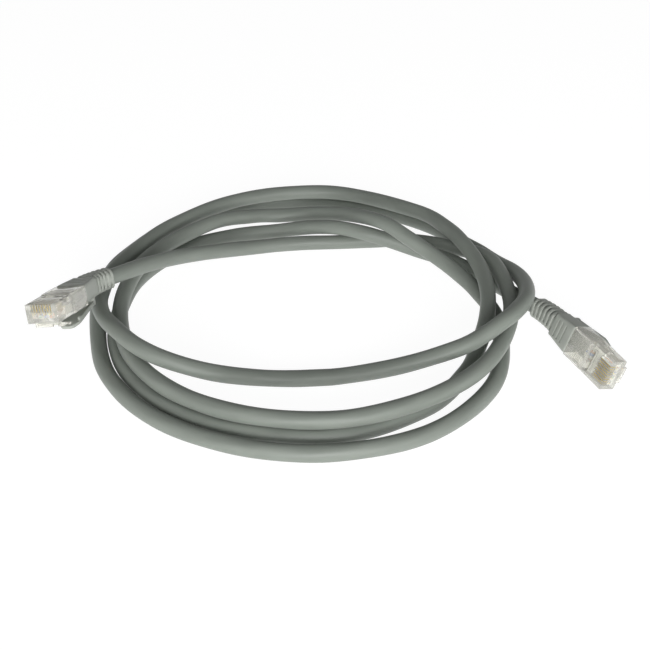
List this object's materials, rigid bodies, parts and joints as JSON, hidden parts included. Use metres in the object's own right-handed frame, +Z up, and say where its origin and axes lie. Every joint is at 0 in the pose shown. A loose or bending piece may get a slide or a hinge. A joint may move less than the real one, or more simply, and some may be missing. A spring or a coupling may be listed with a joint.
{
  "type": "ethernet patch cable",
  "caption": "Loose hank of round grey data cable with a clear modular plug, ribbed boot and snagless latch cover on each end.",
  "frame": {"origin": "middle of the part's bounding box, on the surface the hank lies on", "axes": "+Z up from the surface, +X across the hank from the left plug to the right plug, +Y away from the viewer"},
  "size_m": [0.2044, 0.167, 0.0353],
  "materials": {
    "jacket": "matte grey PVC",
    "separator": "natural polyethylene",
    "white_orange": "white insulation with an orange stripe",
    "orange": "insulation",
    "white_green": "white insulation with a green stripe",
    "blue": "insulation",
    "white_blue": "white insulation with a blue stripe",
    "green": "insulation",
    "white_brown": "white insulation with a brown stripe",
    "brown": "insulation",
    "clear_polycarbonate": "clear, glossy",
    "gold_contacts": "gold plated, polished",
    "wire_guide": "translucent",
    "boot": "matte grey PVC"
  },
  "bodies": {
    "cable": {"cable_jacket": "jacket", "cross_separator": "separator", "wire_1_white_orange": "white_orange", "wire_2_orange": "orange", "wire_3_white_green": "white_green", "wire_4_blue": "blue", "wire_5_white_blue": "white_blue", "wire_6_green": "green", "wire_7_white_brown": "white_brown", "wire_8_brown": "brown", "left_plug_housing": "clear_polycarbonate", "left_contact_blades": "gold_contacts", "left_wire_guide": "wire_guide", "left_crimp_bar": "clear_polycarbonate", "left_boot": "boot", "right_plug_housing": "clear_polycarbonate", "right_contact_blades": "gold_contacts", "right_wire_guide": "wire_guide", "right_crimp_bar": "clear_polycarbonate", "right_boot": "boot"},
    "left_cover": {"left_latch_cover": "boot"},
    "left_latch": {"left_latch": "clear_polycarbonate"},
    "right_cover": {"right_latch_cover": "boot"},
    "right_latch": {"right_latch": "clear_polycarbonate"}
  },
  "joints": [
    {"name": "left_cover_press", "type": "hinge", "parent": "cable", "child": "left_cover", "pos_m": [-0.08856, -0.01813, 0.01744], "axis": [-0.9638, 0.1909, -0.1858], "range_deg": [0, 10], "stiffness_Nm_per_rad": 0.03},
    {"name": "left_latch_press", "type": "hinge", "parent": "cable", "child": "left_latch", "pos_m": [-0.09557, -0.04405, 0.02713], "axis": [0.9638, -0.1909, 0.1858], "range_deg": [0, 12], "stiffness_Nm_per_rad": 0.02},
    {"name": "right_cover_press", "type": "hinge", "parent": "cable", "child": "right_cover", "pos_m": [0.0898, -0.0177, 0.00638], "axis": [-0.2924, -0.1029, -0.9507], "range_deg": [0, 10], "stiffness_Nm_per_rad": 0.03},
    {"name": "right_latch_press", "type": "hinge", "parent": "cable", "child": "right_latch", "pos_m": [0.10009, -0.04432, 0.00609], "axis": [0.2924, 0.1029, 0.9507], "range_deg": [0, 12], "stiffness_Nm_per_rad": 0.02}
  ],
  "couplings": [
    {"joint": "left_latch_press", "follows": "left_cover_press", "ratio": 1.15},
    {"joint": "right_latch_press", "follows": "right_cover_press", "ratio": 1.15}
  ]
}
